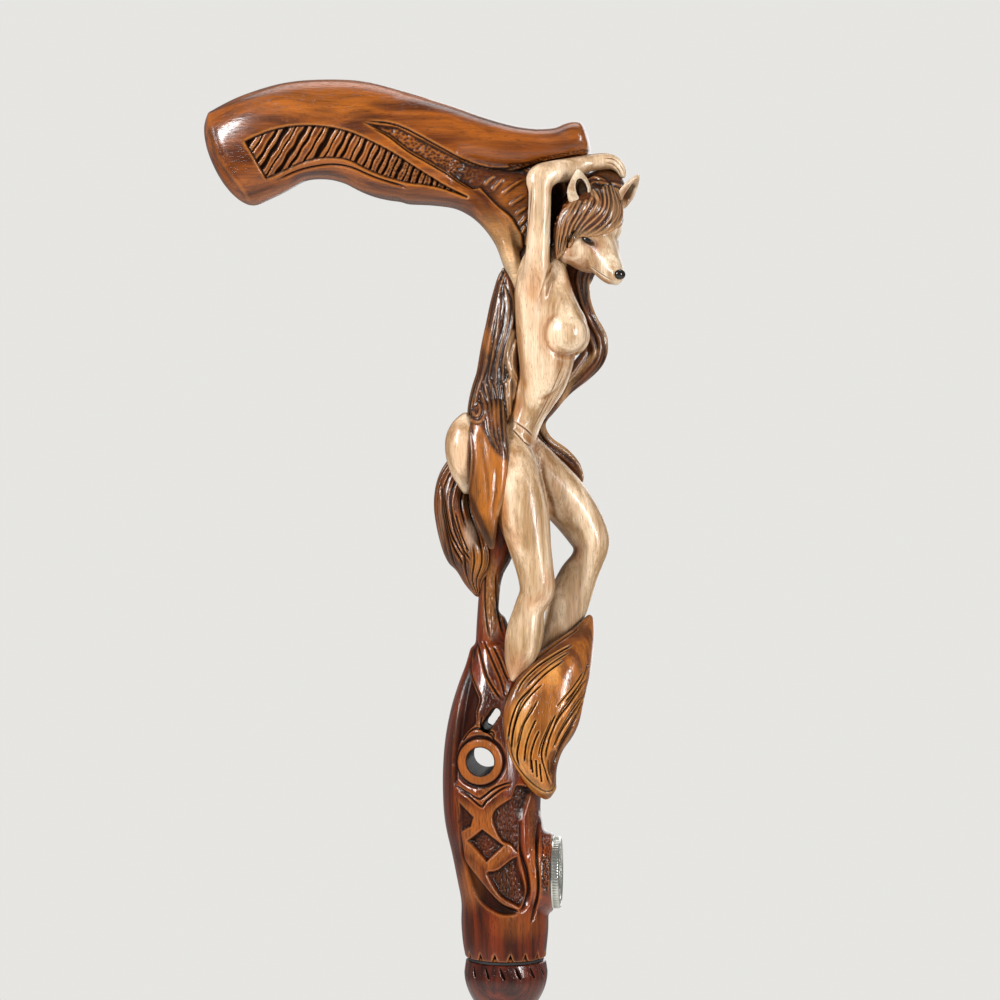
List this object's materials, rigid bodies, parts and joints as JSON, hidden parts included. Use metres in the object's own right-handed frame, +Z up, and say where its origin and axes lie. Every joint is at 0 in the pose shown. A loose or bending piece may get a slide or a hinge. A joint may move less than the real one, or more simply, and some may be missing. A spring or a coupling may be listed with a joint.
{
  "type": "walking cane",
  "caption": "Two-piece carved wooden walking cane: a long grip, a fox-headed figure and a carved trunk on a turned staff with a screw joint and a rubber tip.",
  "frame": {"origin": "centre of the rubber tip's flat underside", "axes": "+Z up the staff, +X where the figure and the medallion face, -X along the grip, -Y the side with the turned fox head"},
  "size_m": [0.1647, 0.0372, 0.9216],
  "materials": {
    "grip_wood": "stained orange-brown, grain along the grip, gloss lacquer",
    "figure_wood": "pale ash, honey shading in the hollows, gloss lacquer",
    "hair_wood": "dark brown stain rubbed back on the ridges, gloss lacquer",
    "tail_wood": "brown stain rubbed back to orange in the middle, gloss lacquer",
    "trunk_wood": "red-brown stain, burnt hollows, gloss lacquer",
    "staff_wood": "dark red-brown stain, gloss lacquer",
    "silver": "aged silver plate, dark in the hollows",
    "brass": "plain turned brass",
    "steel": "zinc plated",
    "bead": "polished black",
    "rubber": "matt black moulded rubber"
  },
  "bodies": {
    "head": {"handle": "grip_wood", "figure_body": "figure_wood", "fox_head": "figure_wood", "nose_bead": "bead", "eye_left": "bead", "eye_right": "bead", "hair": "hair_wood", "far_lock": "hair_wood", "rear_tail": "tail_wood", "front_tail": "tail_wood", "trunk": "trunk_wood", "medallion_bezel": "silver", "medallion_disc": "silver", "threaded_insert": "brass"},
    "washer": {"joint_washer": "rubber"},
    "staff": {"staff": "staff_wood", "joint_stud": "steel"},
    "tip": {"rubber_tip": "rubber", "tip_washer": "steel"}
  },
  "joints": [
    {"name": "staff_travel", "type": "slide", "parent": "head", "child": "washer", "axis": [0, 0, -1], "range_m": [0, 0.024]},
    {"name": "staff_turn", "type": "hinge", "parent": "washer", "child": "staff", "pos_m": [0, 0, 0.5925], "axis": [0, 0, -1], "range_deg": [0, 5760]},
    {"name": "tip_pull", "type": "slide", "parent": "staff", "child": "tip", "axis": [0, 0, -1], "range_m": [0, 0.04]}
  ],
  "couplings": [
    {"joint": "staff_turn", "follows": "staff_travel", "rad_per_m": 4188.8}
  ]
}
